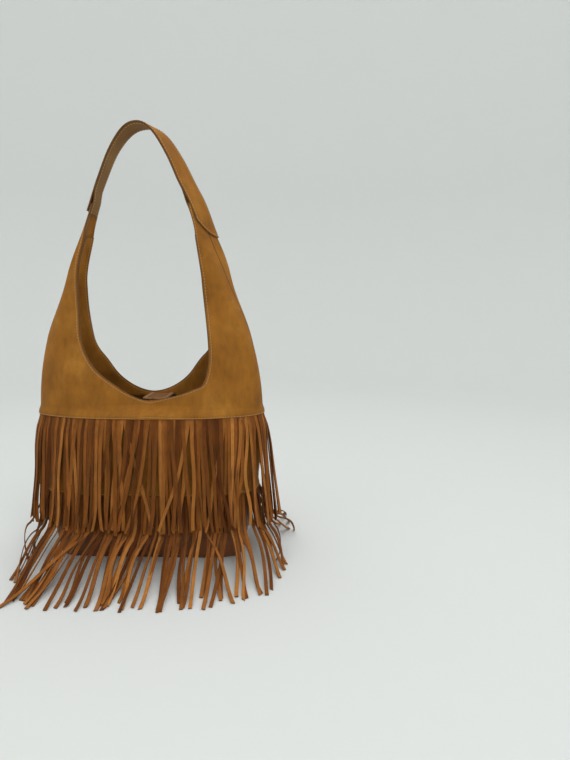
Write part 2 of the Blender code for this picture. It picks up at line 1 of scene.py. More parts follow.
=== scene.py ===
# The looks of a fringed leather hobo bag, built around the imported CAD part. Metres, +Z up, the
# front faces -Y. Every leather and cloth piece is modelled finely here and stands for its CAD node.
import json
import math

import bpy
import numpy as np
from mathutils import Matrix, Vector

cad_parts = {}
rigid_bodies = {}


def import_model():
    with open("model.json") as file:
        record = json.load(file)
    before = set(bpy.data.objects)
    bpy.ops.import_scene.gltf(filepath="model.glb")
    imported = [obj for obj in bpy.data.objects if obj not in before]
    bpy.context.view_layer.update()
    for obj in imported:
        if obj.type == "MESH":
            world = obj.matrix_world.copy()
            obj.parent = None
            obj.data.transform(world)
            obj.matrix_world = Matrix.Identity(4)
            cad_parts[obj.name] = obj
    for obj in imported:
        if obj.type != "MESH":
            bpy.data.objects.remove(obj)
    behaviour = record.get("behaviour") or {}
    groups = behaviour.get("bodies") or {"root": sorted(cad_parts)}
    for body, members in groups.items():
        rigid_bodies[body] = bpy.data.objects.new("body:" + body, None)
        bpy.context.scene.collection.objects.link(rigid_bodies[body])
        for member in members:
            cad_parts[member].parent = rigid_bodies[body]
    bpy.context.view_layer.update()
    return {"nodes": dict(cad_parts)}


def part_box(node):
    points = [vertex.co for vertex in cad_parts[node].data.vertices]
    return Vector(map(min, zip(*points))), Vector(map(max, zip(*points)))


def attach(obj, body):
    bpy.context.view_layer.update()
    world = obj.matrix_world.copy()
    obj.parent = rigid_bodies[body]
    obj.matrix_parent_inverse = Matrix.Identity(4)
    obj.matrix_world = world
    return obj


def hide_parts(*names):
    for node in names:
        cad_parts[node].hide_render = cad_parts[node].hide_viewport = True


for item in list(bpy.data.objects):
    bpy.data.objects.remove(item, do_unlink=True)
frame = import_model()


def corners_of(node):
    low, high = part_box(node)
    return np.array(low), np.array(high)


# Gaps and thicknesses of the layers, as in the CAD part
SEAM_GAP = 0.0003
PANEL_THICKNESS = 0.0014
FACING_THICKNESS = 0.0012
LINING_THICKNESS = 0.0006
FACING_EASE = 0.0017
LINING_EASE = 0.0013
STRAP_THICKNESS = 0.0016
STRAP_LINING_THICKNESS = 0.0010
FRINGE_THICKNESS = 0.0012

# Heights of the seams and edges, from the frame where a node ends there
BASE_THICKNESS = float(corners_of("base_panel")[1][2])
LOWER_SEAM_HEIGHT = float(corners_of("front_mid_panel")[0][2]) - SEAM_GAP
UPPER_SEAM_HEIGHT = float(corners_of("front_yoke")[0][2]) - SEAM_GAP
HORN_TOP_HEIGHT = float(corners_of("front_yoke")[1][2])
STRAP_TOP_HEIGHT = float(corners_of("strap")[1][2]) - SEAM_GAP - STRAP_THICKNESS
RIM_LOW_HEIGHT = 0.231
SHOULDER_HEIGHT = 0.316
NECK_HEIGHT = 0.397
HORN_LAP_HEIGHT = 0.465

# Outline of the body at each level: width, depth and squareness (2 is an ellipse)
LEVELS = (0.0, LOWER_SEAM_HEIGHT, UPPER_SEAM_HEIGHT, SHOULDER_HEIGHT, NECK_HEIGHT, HORN_LAP_HEIGHT,
          HORN_TOP_HEIGHT)
WIDTHS = (0.270, 0.312, 0.330, 0.299, 0.234, 0.178, 0.148)
DEPTHS = (0.098, 0.114, 0.120, 0.092, 0.068, 0.048, 0.044)
SQUARENESSES = (6.0, 3.0, 2.2, 2.5, 4.0, 12.0, 12.0)
RIM_DRAW = 0.20
RIM_DRAW_WIDTH = 0.055
TAB_DROP = 0.0025
LEFT_TWIST = math.radians(-4)
RIGHT_TWIST = math.radians(30)
TWIST_START_HEIGHT = 0.260

# The scoops
FRONT_SCOOP_SHIFT = 0.008
SCOOP_SHOULDER_HALF = 0.093
FRONT_SCOOP_NECK_HALF = 0.095
BACK_SCOOP_NECK_HALF = 0.100
FRONT_LEFT_CURVE = ((0.20, 0.05), (0.47, 0.22), (0.83, 0.55))
FRONT_RIGHT_CURVE = ((0.33, 0.06), (0.65, 0.17), (0.88, 0.33))
BACK_CURVE = ((0.30, 0.08), (0.57, 0.28), (0.77, 0.57))
HORN_LAP_WRAP = 0.0044
HORN_TOP_WRAP = 0.0012
YOKE_SIDE_SHARE = 0.36
FACING_WIDTH = 0.034
FACING_SPREAD = 0.30
FACING_LAP = 0.010
FACING_TRIM = 1.06
LINING_RISE_POWER = 2.88
LINING_WRINKLE = 0.0018

# Hems: where a panel's stitched lower edge laps over the header of a fringe
HEM_LIFT = 0.0028
HEM_WIDTH = 0.010
HEM_LAP = 0.0035

# Strap
STRAP_WIDTH = 0.036
STRAP_LEFT_ARCH = ((0.82, 0.32), (0.58, 0.68), (0.29, 0.93))
STRAP_RIGHT_ARCH = ((0.29, 0.90), (0.58, 0.60), (0.80, 0.28))
STRAP_CLOSED_HEIGHT = HORN_TOP_HEIGHT + 0.022
STRAP_CLOSED_GAP = 0.0002
LEFT_LAP_HEIGHT = 0.494
RIGHT_LAP_HEIGHT = 0.460
LAP_CURVE_RISE = 0.022
LAP_CURVE_POWER = 2.2
INNER_END_HEIGHT = 0.492
STRAP_CROWN = 0.0004
STRAP_INNER_CROWN = -0.0003
STRAP_INNER_EASE = 0.0016
STRAP_EDGE_WAVE = 0.0005

# Mesh fineness
YOKE_COLUMNS = 260
YOKE_ROWS = 40
BAND_COLUMNS = 180
BAND_ROWS = 30
STRAP_COLUMNS = 150
STRAP_ROWS = 10

# Fringe: each tier's strips per side, their size and how they hang
STRIP_WIDTH = 0.0051
UPPER_STRIPS = 94
LOWER_STRIPS = 72
STRIP_RINGS = 24
UPPER_LENGTH = 0.167
FRONT_REACH = 0.144
LEFT_REACH = 0.014
RIGHT_REACH = 0.050
SIDE_SWEEP = 0.064
SIDE_BULGE = 0.030
LEFT_END = -0.168
REACH_POWER = 1.5
LOWER_SPREAD = 0.06
ROOT_LIFT = 0.0008
UPPER_LEAN_LIMITS = (-24.0, 20.0)
UPPER_LAYERS = (0.0, 0.0015, 0.0030, 0.0045)
UPPER_TWIST_MOST = 75.0
LOWER_TWIST_MOST = 50.0
STRIP_WIDTH_LEAST = 0.86
STRIP_WIDTH_VARIES = 0.24
STRIP_TAPER = 0.12
TIP_SLANT = 0.0009
FLOOR_CLEARANCE = 0.0002

# A strip's tone, from 0, dark, to 1, light: its middle; its spread, partly the strips' own differing tone and
# partly painted shade between strips; and how much it rises to the tip, a painted highlight where the strips'
# lower lengths face the light
TONE_MIDDLE = 0.44
TONE_AND_PAINTED_SHADE_SPREAD = 0.28
PAINTED_TIP_LIGHT_RISE = 0.20

# The uncut header of each tier
HEADER_HEIGHT = 0.0085
HEADER_LIFT = 0.0011
HEADER_THICKNESS = 0.0009
HEADER_TONE = 0.25

# How a lower strip runs: the share of its reach and its height at shares of its length
LOWER_STATIONS = (0.0, 0.14, 0.27, 0.45, 0.68, 0.86, 1.0)
LOWER_OUT = (0.0, 0.015, 0.055, 0.24, 0.55, 0.81, 1.0)
LOWER_HEIGHTS = (0.0977, 0.071, 0.0475, 0.0345, 0.0180, 0.0060, 0.0009)

# Stitches
STITCH_PITCH = 0.0042
STITCH_LENGTH = 0.0031
STITCH_RADIUS = 0.00040
STITCH_MARGIN = 0.0032

random = np.random.RandomState(41)


def smooth_step(value):
    held = np.clip(value, 0.0, 1.0)
    return held * held * (3.0 - 2.0 * held)


def curve_through(knots, values, at):
    """A smooth curve through values at rising knots, which never overshoots between two of them."""
    knots, values = np.asarray(knots, float), np.asarray(values, float)
    slopes = np.diff(values) / np.diff(knots)
    tangents = np.concatenate([slopes[:1], (slopes[:-1] + slopes[1:]) / 2, slopes[-1:]])
    tangents[1:-1][slopes[:-1] * slopes[1:] <= 0] = 0.0
    at = np.clip(at, knots[0], knots[-1])
    span = np.clip(np.searchsorted(knots, at, side="right") - 1, 0, len(slopes) - 1)
    step = knots[span + 1] - knots[span]
    t = (at - knots[span]) / step
    start = (1 + 2 * t) * (1 - t) ** 2 * values[span] + t * (1 - t) ** 2 * step * tangents[span]
    end = t * t * (3 - 2 * t) * values[span + 1] + t * t * (t - 1) * step * tangents[span + 1]
    return start + end


def half_width(height):
    return curve_through(LEVELS, WIDTHS, height) / 2


def half_depth(height):
    return curve_through(LEVELS, DEPTHS, height) / 2


def squareness(height):
    return curve_through(LEVELS, SQUARENESSES, height)


def twisted(points):
    """Turns the horns and the strap about the upright, as the CAD part does."""
    x, y, z = np.moveaxis(np.asarray(points, float), -1, 0)
    rise = smooth_step((z - TWIST_START_HEIGHT) / (HORN_LAP_HEIGHT - TWIST_START_HEIGHT))
    across = smooth_step((x + WIDTHS[-1] / 2) / WIDTHS[-1])
    angle = rise * (LEFT_TWIST + (RIGHT_TWIST - LEFT_TWIST) * across)
    return np.stack([x + y * np.sin(angle), y * np.cos(angle), z], axis=-1)


# Soft folds of the standing bag: angle from the middle of its side, height, tilt, half length,
# half width, how far the leather goes in, and the side (-1 is the front)
FOLDS = (
    (0.62, 0.247, -0.10, 0.42, 0.010, 0.0026, -1),
    (0.80, 0.300, 0.22, 0.30, 0.014, 0.0018, -1),
    (-0.78, 0.262, 0.16, 0.35, 0.011, 0.0020, -1),
    (-0.95, 0.330, -0.30, 0.22, 0.012, 0.0016, -1),
    (0.55, 0.262, 0.12, 0.40, 0.012, 0.0024, 1),
    (-0.70, 0.280, -0.15, 0.34, 0.013, 0.0020, 1),
)


def slouch(angle, height, side):
    """How far in from its even shape the soft leather lies. It fades out at the side seams."""
    centred = angle - math.pi / 2
    fade = np.sin(np.clip(angle, 0, math.pi)) ** 0.5
    waves = 0.0009 * np.sin(6.1 * centred + 21.0 * height + side) * np.sin(29.0 * height + 2.3 * centred)
    waves = waves + 0.0006 * np.sin(11.0 * centred - 33.0 * height + 2.0 * side)
    depth = 0.0015 + waves
    for around, middle, tilt, length, width, fold, fold_side in FOLDS:
        off = height - middle - tilt * (centred - around) * 0.1
        shape = np.exp(-(((centred - around) / length) ** 2) - (off / width) ** 2)
        depth = depth + fold * shape * (side == fold_side)
    return depth * fade * smooth_step(height / 0.03)


def body_point(angle, height, inset=0.0, side=-1):
    """A point on the body. The angle is 0 at the right side seam and half a turn at the left one."""
    angle, height = np.asarray(angle, float), np.asarray(height, float)
    inset = inset + slouch(angle, height, side)
    power = 2.0 / squareness(height)
    cosine = np.cos(angle)
    x = (half_width(height) - inset) * np.sign(cosine) * np.abs(cosine) ** power
    y = (half_depth(height) - inset) * np.abs(np.sin(angle)) ** power
    draw_height = RIM_LOW_HEIGHT - 2 * TAB_DROP
    drawn = np.exp(-((x / RIM_DRAW_WIDTH) ** 2))
    drawn = drawn * smooth_step((height - UPPER_SEAM_HEIGHT) / (draw_height - UPPER_SEAM_HEIGHT))
    y = side * y * (1.0 - RIM_DRAW * drawn)
    return twisted(np.stack(np.broadcast_arrays(x, y, height), axis=-1))


def angle_of(x, height):
    ratio = np.clip(np.abs(x) / half_width(height), 0.0, 1.0) ** (squareness(height) / 2.0)
    return np.arccos(np.sign(x) * ratio)


def scoop_half(curve, neck_half):
    """Points up one half of a scoop's edge, from beside its lowest point to the horn's tip."""
    curve_height = SHOULDER_HEIGHT - RIM_LOW_HEIGHT
    points = [(SCOOP_SHOULDER_HALF * across, RIM_LOW_HEIGHT + curve_height * up) for across, up in curve]
    points += [
        (SCOOP_SHOULDER_HALF, SHOULDER_HEIGHT),
        (neck_half, NECK_HEIGHT),
        (WIDTHS[-2] / 2 - HORN_LAP_WRAP, HORN_LAP_HEIGHT),
        (WIDTHS[-1] / 2 - HORN_TOP_WRAP, HORN_TOP_HEIGHT),
    ]
    return points


def scoop_outline(side, steps, trim=0.0):
    """The scoop's edge from the left horn's tip round to the right one's, as angles and heights."""
    if side < 0:
        shift = FRONT_SCOOP_SHIFT
        left = scoop_half(FRONT_LEFT_CURVE, FRONT_SCOOP_NECK_HALF)
        right = scoop_half(FRONT_RIGHT_CURVE, FRONT_SCOOP_NECK_HALF)
    else:
        shift = -FRONT_SCOOP_SHIFT
        left = right = scoop_half(BACK_CURVE, BACK_SCOOP_NECK_HALF)
    points = [(-x, z) for x, z in reversed(left)] + [(0.0, RIM_LOW_HEIGHT)] + right
    knots = np.arange(len(points))
    at = np.linspace(trim, len(points) - 1 - trim, steps + 1)
    x = curve_through(knots, [p[0] for p in points], at)
    z = curve_through(knots, [p[1] for p in points], at)
    lean = 1.0 - smooth_step((z - RIM_LOW_HEIGHT) / (NECK_HEIGHT - RIM_LOW_HEIGHT))
    return angle_of(x + shift * lean, z), z


def seam_outline(steps, corner_height):
    at = np.linspace(0.0, 1.0, steps + 1)
    down = np.clip(at / YOKE_SIDE_SHARE, 0.0, 1.0)
    up = np.clip((1.0 - at) / YOKE_SIDE_SHARE, 0.0, 1.0)
    z = HORN_TOP_HEIGHT + (corner_height - HORN_TOP_HEIGHT) * np.minimum(down, up)
    along = np.clip((at - YOKE_SIDE_SHARE) / (1.0 - 2.0 * YOKE_SIDE_SHARE), 0.0, 1.0)
    return math.pi * (1.0 - along), z


def between(start, end, rows):
    share = np.linspace(0.0, 1.0, rows + 1)[:, None]
    return start[None, :] * (1.0 - share) + end[None, :] * share


def inside_side_seams(angles, heights):
    clearance = SEAM_GAP / half_depth(heights)
    least = np.arcsin(np.clip(clearance, 0.0, 1.0) ** (squareness(heights) / 2.0))
    return np.clip(angles, least, math.pi - least)


def unit(vectors):
    return vectors / np.maximum(np.linalg.norm(vectors, axis=-1, keepdims=True), 1e-12)


def add_mesh(name, points, faces, looks, body, replaces=(), edge=None, face_looks=None):
    """Makes a piece from its points and faces, rides it on a body and hides the CAD parts it replaces."""
    mesh = bpy.data.meshes.new(name)
    mesh.from_pydata([tuple(p) for p in np.asarray(points, float)], [], faces)
    for look in looks:
        mesh.materials.append(look)
    if face_looks is not None:
        mesh.polygons.foreach_set("material_index", np.asarray(face_looks, np.int32))
    mesh.shade_smooth()
    mesh.set_sharp_from_angle(angle=math.radians(40))
    if edge is not None:
        layer = mesh.attributes.new("edge", "FLOAT", "POINT")
        layer.data.foreach_set("value", np.asarray(edge, np.float32))
    mesh.validate()
    made = bpy.data.objects.new(name, mesh)
    bpy.context.scene.collection.objects.link(made)
    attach(made, body)
    if replaces:
        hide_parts(*replaces)
    return made


def sheet_faces(rows, columns):
    """Faces of a closed sheet with an outer and an inner grid: both sides, then the rim's."""
    count = rows * columns
    sides, edges = [], []
    for row in range(rows - 1):
        for column in range(columns - 1):
            a = row * columns + column
            b, c, d = a + 1, a + columns + 1, a + columns
            sides.append((a, b, c, d))
            sides.append((a + count, d + count, c + count, b + count))
    rim = list(range(columns))
    rim += [row * columns + columns - 1 for row in range(1, rows)]
    rim += [(rows - 1) * columns + column for column in range(columns - 2, -1, -1)]
    rim += [row * columns for row in range(rows - 2, 0, -1)]
    for here, ahead in zip(rim, rim[1:] + rim[:1]):
        edges.append((ahead, here, here + count, ahead + count))
    return sides, edges


def edge_distance(grid):
    """How far each point of a grid lies from the grid's nearest long edge or end, along the grid."""
    def run(lines):
        steps = np.linalg.norm(np.diff(lines, axis=0), axis=-1)
        return np.concatenate([np.zeros((1, lines.shape[1])), np.cumsum(steps, axis=0)])
    down = run(grid)
    across = run(grid.transpose(1, 0, 2)).T
    return np.minimum(np.minimum(down, down[-1:] - down), np.minimum(across, across[:, -1:] - across))


def add_sheet(name, outer, inner, looks, body, replaces=(), turned=False):
    """A closed sheet of leather or cloth between two grids, with its cut edge in the second look."""
    rows, columns = outer.shape[:2]
    sides, edges = sheet_faces(rows, columns)
    if turned:
        sides = [face[::-1] for face in sides]
        edges = [face[::-1] for face in edges]
    points = np.concatenate([outer.reshape(-1, 3), inner.reshape(-1, 3)])
    distance = np.tile(edge_distance(outer).reshape(-1), 2)
    face_looks = [0] * len(sides) + [len(looks) - 1] * len(edges)
    return add_mesh(name, points, sides + edges, looks, body, replaces, distance, face_looks)


def new_look(name, roughness, specular=0.4, sheen=0.0, sheen_tint=(1.0, 1.0, 1.0), metallic=0.0):
    look = bpy.data.materials.new(name)
    look.use_nodes = True
    tree = look.node_tree
    shader = tree.nodes["Principled BSDF"]
    shader.inputs["Roughness"].default_value = roughness
    shader.inputs["Specular IOR Level"].default_value = specular
    shader.inputs["Metallic"].default_value = metallic
    shader.inputs["Sheen Weight"].default_value = sheen
    shader.inputs["Sheen Roughness"].default_value = 0.45
    shader.inputs["Sheen Tint"].default_value = (*sheen_tint, 1.0)
    coords = tree.nodes.new("ShaderNodeTexCoord").outputs["Object"]
    return look, tree, shader, coords


def noise(tree, coords, size, detail=2.0, stretch=(1.0, 1.0, 1.0)):
    """Soft noise whose spots are about this many metres across."""
    mapping = tree.nodes.new("ShaderNodeMapping")
    mapping.inputs["Scale"].default_value = [1.0 / (size * s) for s in stretch]
    tree.links.new(coords, mapping.inputs["Vector"])
    made = tree.nodes.new("ShaderNodeTexNoise")
    made.inputs["Scale"].default_value = 1.0
    made.inputs["Detail"].default_value = detail
    tree.links.new(mapping.outputs["Vector"], made.inputs["Vector"])
    return made.outputs["Fac"]


def cells(tree, coords, size):
    made = tree.nodes.new("ShaderNodeTexVoronoi")
    made.inputs["Scale"].default_value = 1.0 / size
    tree.links.new(coords, made.inputs["Vector"])
    return made.outputs["Distance"]


def ramp(tree, factor, stops):
    made = tree.nodes.new("ShaderNodeValToRGB")
    tree.links.new(factor, made.inputs["Fac"])
    made.color_ramp.elements[0].position, made.color_ramp.elements[1].position = stops[0][0], stops[-1][0]
    made.color_ramp.elements[0].color = (*stops[0][1], 1.0)
    made.color_ramp.elements[1].color = (*stops[-1][1], 1.0)
    for position, colour in stops[1:-1]:
        made.color_ramp.elements.new(position).color = (*colour, 1.0)
    return made.outputs["Color"]


def grey_ramp(tree, factor, low, low_value, high, high_value):
    return ramp(tree, factor, ((low, (low_value,) * 3), (high, (high_value,) * 3)))


def multiplied(tree, first, second, factor=1.0):
    made = tree.nodes.new("ShaderNodeMix")
    made.data_type = "RGBA"
    made.blend_type = "MULTIPLY"
    made.inputs[0].default_value = factor
    tree.links.new(first, made.inputs[6])
    tree.links.new(second, made.inputs[7])
    return made.outputs[2]


def attribute(tree, name, low, high):
    """A mesh attribute, brought from its range to 0 and 1."""
    made = tree.nodes.new("ShaderNodeAttribute")
    made.attribute_name = name
    scaled = tree.nodes.new("ShaderNodeMapRange")
    scaled.inputs["From Min"].default_value = low
    scaled.inputs["From Max"].default_value = high
    tree.links.new(made.outputs["Fac"], scaled.inputs["Value"])
    return scaled.outputs["Result"]


def add_bumps(tree, shader, layers):
    """Bumps laid over each other, each a height, a strength and a depth in metres."""
    normal = None
    for height, strength, depth in layers:
        made = tree.nodes.new("ShaderNodeBump")
        made.inputs["Strength"].default_value = strength
        made.inputs["Distance"].default_value = depth
        tree.links.new(height, made.inputs["Height"])
        if normal is not None:
            tree.links.new(normal, made.inputs["Normal"])
        normal = made.outputs["Normal"]
    tree.links.new(normal, shader.inputs["Normal"])


def rough_between(tree, shader, factor, low, high):
    scaled = tree.nodes.new("ShaderNodeMapRange")
    scaled.inputs["From Min"].default_value = 0.3
    scaled.inputs["From Max"].default_value = 0.7
    scaled.inputs["To Min"].default_value = low
    scaled.inputs["To Max"].default_value = high
    tree.links.new(factor, scaled.inputs["Value"])
    tree.links.new(scaled.outputs["Result"], shader.inputs["Roughness"])


def nubuck_look(name, dark, middle, light):
    """Brushed nubuck: cloudy colour, a fine nap with brush marks, and a burnished rim at its edges."""
    look, tree, shader, coords = new_look(name, 0.75, 0.15, 0.08, (1.0, 0.70, 0.38))
    clouds = noise(tree, coords, 0.050, 4.0)
    marks = noise(tree, coords, 0.007, 5.0, (1.0, 1.0, 2.6))
    nap = noise(tree, coords, 0.0011, 3.0)
    colour = ramp(tree, clouds, ((0.30, dark), (0.50, middle), (0.72, light)))
    colour = multiplied(tree, colour, grey_ramp(tree, marks, 0.30, 0.84, 0.70, 1.12))
    colour = multiplied(tree, colour, grey_ramp(tree, nap, 0.25, 0.88, 0.75, 1.10))
    worn = attribute(tree, "edge", 0.0, 0.0030)
    colour = multiplied(tree, colour, ramp(tree, worn, ((0.0, (0.55, 0.50, 0.46)), (0.45, (0.92, 0.90, 0.88)),
                                                       (0.70, (1.06, 1.06, 1.05)), (1.0, (1.0, 1.0, 1.0)))))
    tree.links.new(colour, shader.inputs["Base Color"])
    rough_between(tree, shader, marks, 0.66, 0.84)
    add_bumps(tree, shader, ((noise(tree, coords, 0.018, 3.0), 0.30, 0.0012), (marks, 0.22, 0.0005),
                             (nap, 0.35, 0.00018)))
    return look


def suede_look(name, dark, middle, light):
    """Fringe suede: every strip has its own tone, with painted shade in its spread and painted light rising
    to its tip, and its fibres give it a soft nap.
    """
    look, tree, shader, coords = new_look(name, 0.86, 0.12, 0.10, (1.0, 0.62, 0.30))
    clouds = noise(tree, coords, 0.022, 3.0)
    nap = noise(tree, coords, 0.0009, 4.0)
    streaks = noise(tree, coords, 0.0022, 3.0, (1.0, 1.0, 9.0))
    tone = attribute(tree, "tone", 0.0, 1.0)
    colour = ramp(tree, tone, ((0.0, dark), (0.5, middle), (1.0, light)))
    colour = multiplied(tree, colour, grey_ramp(tree, clouds, 0.30, 0.80, 0.70, 1.14))
    colour = multiplied(tree, colour, grey_ramp(tree, streaks, 0.30, 0.86, 0.70, 1.10))
    colour = multiplied(tree, colour, grey_ramp(tree, nap, 0.25, 0.85, 0.75, 1.12))
    tree.links.new(colour, shader.inputs["Base Color"])
    rough_between(tree, shader, clouds, 0.78, 0.92)
    add_bumps(tree, shader, ((streaks, 0.25, 0.0003), (nap, 0.45, 0.00016)))
    return look


def smooth_leather_look(name, dark, light):
    """Smoother leather with a fine pebbled grain and faint creases."""
    look, tree, shader, coords = new_look(name, 0.52, 0.45, 0.08, (1.0, 0.8, 0.6))
    clouds = noise(tree, coords, 0.040, 4.0)
    pebbles = cells(tree, coords, 0.0016)
    creases = noise(tree, coords, 0.009, 5.0, (2.2, 1.0, 0.6))
    colour = ramp(tree, clouds, ((0.30, dark), (0.70, light)))
    colour = multiplied(tree, colour, grey_ramp(tree, pebbles, 0.10, 0.86, 0.70, 1.06))
    tree.links.new(colour, shader.inputs["Base Color"])
    rough_between(tree, shader, clouds, 0.44, 0.62)
    add_bumps(tree, shader, ((creases, 0.30, 0.0006), (pebbles, 0.30, 0.00022)))
    return look


def lining_look(name, dark, light):
    """A satin-faced lining with a fine weave of crossing threads."""
    look, tree, shader, coords = new_look(name, 0.42, 0.55, 0.25, (0.95, 0.72, 0.50))
    clouds = noise(tree, coords, 0.030, 3.0)
    warp = noise(tree, coords, 0.0005, 1.0, (1.0, 1.0, 14.0))
    weft = noise(tree, coords, 0.0005, 1.0, (14.0, 14.0, 1.0))
    colour = ramp(tree, clouds, ((0.30, dark), (0.70, light)))
    colour = multiplied(tree, colour, grey_ramp(tree, warp, 0.30, 0.82, 0.70, 1.12))
    tree.links.new(colour, shader.inputs["Base Color"])
    rough_between(tree, shader, weft, 0.34, 0.50)
    add_bumps(tree, shader, ((clouds, 0.35, 0.0020), (warp, 0.25, 0.00010), (weft, 0.25, 0.00010)))
    return look


def edge_look(name, colour):
    """The fibrous cut edge of the leather."""
    look, tree, shader, coords = new_look(name, 0.80, 0.20, 0.10)
    fibres = noise(tree, coords, 0.0007, 4.0, (1.0, 1.0, 2.5))
    dark, light = tuple(c * 0.62 for c in colour), tuple(c * 1.25 for c in colour)
    tint = ramp(tree, fibres, ((0.25, dark), (0.75, light)))
    tree.links.new(tint, shader.inputs["Base Color"])
    add_bumps(tree, shader, ((fibres, 0.5, 0.0002),))
    return look


def thread_look(name, colour):
    look, tree, shader, coords = new_look(name, 0.62, 0.35, 0.25)
    plies = noise(tree, coords, 0.0004, 2.0)
    dark, light = tuple(c * 0.72 for c in colour), tuple(c * 1.15 for c in colour)
    tint = ramp(tree, plies, ((0.3, dark), (0.7, light)))
    tree.links.new(tint, shader.inputs["Base Color"])
    add_bumps(tree, shader, ((plies, 0.5, 0.0001),))
    return look


def metal_look(name, colour):
    look, tree, shader, coords = new_look(name, 0.30, 0.5, metallic=1.0)
    scratches = noise(tree, coords, 0.0008, 4.0, (6.0, 1.0, 1.0))
    tint = ramp(tree, scratches, ((0.3, tuple(c * 0.85 for c in colour)), (0.7, colour)))
    tree.links.new(tint, shader.inputs["Base Color"])
    rough_between(tree, shader, scratches, 0.24, 0.42)
    add_bumps(tree, shader, ((scratches, 0.12, 0.00005),))
    return look


tan = nubuck_look("tan_nubuck", (0.245, 0.093, 0.011), (0.315, 0.123, 0.015), (0.390, 0.165, 0.024))
tan_edge = edge_look("tan_cut_edge", (0.150, 0.065, 0.018))
# A darker copy of the tan nubuck for the tabs: painted shade, for they lie in shade deep in the scoop.
tab_painted_shade_look = nubuck_look("tab_nubuck_painted_shade", (0.130, 0.044, 0.008), (0.180, 0.064, 0.011), (0.240, 0.090, 0.017))
strap_suede = nubuck_look("grey_brown_suede", (0.185, 0.088, 0.024), (0.235, 0.117, 0.034),
                          (0.290, 0.152, 0.048))
suede = suede_look("brown_suede", (0.105, 0.029, 0.005), (0.265, 0.088, 0.016), (0.450, 0.175, 0.038))
suede_edge = edge_look("suede_cut_edge", (0.160, 0.055, 0.012))
smooth = smooth_leather_look("brown_leather", (0.165, 0.050, 0.010), (0.250, 0.080, 0.016))
cloth = lining_look("lining_cloth", (0.030, 0.012, 0.004), (0.060, 0.026, 0.009))
thread = thread_look("tan_thread", (0.480, 0.290, 0.120))
metal = metal_look("snap_metal", (0.55, 0.50, 0.40))


# Stitches: each is a short thread that dips into the leather at both ends
STITCH_SHARES = (-0.50, -0.30, 0.0, 0.30, 0.50)
STITCH_RISES = (-0.5, 0.55, 0.95, 0.55, -0.5)
STITCH_SWELLS = (0.55, 0.95, 1.05, 0.95, 0.55)
STITCH_SIDES = 6


def add_stitches(name, line, normals, body="bag"):
    """A row of stitches along a line on the leather, which is given with the leather's normals."""
    line = np.asarray(line, float)
    along = np.concatenate([[0.0], np.cumsum(np.linalg.norm(np.diff(line, axis=0), axis=1))])
    count = max(1, int(along[-1] / STITCH_PITCH))
    middles = (np.arange(count) + 0.5) * along[-1] / count
    points, faces = [], []
    for middle in middles:
        here = np.array([np.interp(middle, along, line[:, k]) for k in range(3)])
        ahead = np.array([np.interp(middle + STITCH_PITCH / 2, along, line[:, k]) for k in range(3)])
        behind = np.array([np.interp(middle - STITCH_PITCH / 2, along, line[:, k]) for k in range(3)])
        up = unit(np.array([np.interp(middle, along, normals[:, k]) for k in range(3)]))
        run = unit(ahead - behind)
        across = unit(np.cross(run, up))
        first = len(points)
        for share, rise, swell in zip(STITCH_SHARES, STITCH_RISES, STITCH_SWELLS):
            centre = here + run * share * STITCH_LENGTH + up * rise * STITCH_RADIUS
            for step in range(STITCH_SIDES):
                turn = 2 * math.pi * step / STITCH_SIDES
                spread = across * math.cos(turn) + up * math.sin(turn)
                points.append(centre + spread * swell * STITCH_RADIUS)
        rings = [list(range(first + k * STITCH_SIDES, first + (k + 1) * STITCH_SIDES))
                 for k in range(len(STITCH_SHARES))]
        for low, high in zip(rings, rings[1:]):
            for step in range(STITCH_SIDES):
                after = (step + 1) % STITCH_SIDES
                faces.append((low[step], high[step], high[after], low[after]))
        faces.append(tuple(rings[0]))
        faces.append(tuple(reversed(rings[-1])))
    return add_mesh(name, points, faces, [thread], body)


def line_inside(outer, inner, distance):
    """A line on a sheet that runs this far inside its first row, and the sheet's normals along it."""
    steps = np.linalg.norm(np.diff(outer, axis=0), axis=-1)
    run = np.concatenate([np.zeros((1, outer.shape[1])), np.cumsum(steps, axis=0)])
    normals = unit(outer - inner)
    line, ups = [], []
    for column in range(outer.shape[1]):
        at = [np.interp(distance, run[:, column], outer[:, column, k]) for k in range(3)]
        up = [np.interp(distance, run[:, column], normals[:, column, k]) for k in range(3)]
        line.append(at)
        ups.append(up)
    return np.array(line), np.array(ups)


def hem_lift(heights, seam_height):
    return HEM_LIFT * smooth_step((seam_height + HEM_WIDTH - heights) / HEM_WIDTH)


def yoke_grids(side):
    scoop_angles, scoop_heights = scoop_outline(side, YOKE_COLUMNS)
    seam_angles, seam_heights = seam_outline(YOKE_COLUMNS, UPPER_SEAM_HEIGHT - HEM_LAP)
    heights = between(scoop_heights, seam_heights, YOKE_ROWS)
    angles = inside_side_seams(between(scoop_angles, seam_angles, YOKE_ROWS), heights)
    lift = hem_lift(heights, UPPER_SEAM_HEIGHT)
    outer = body_point(angles, heights, -lift, side)
    inner = body_point(angles, heights, PANEL_THICKNESS - lift, side)
    return outer, inner


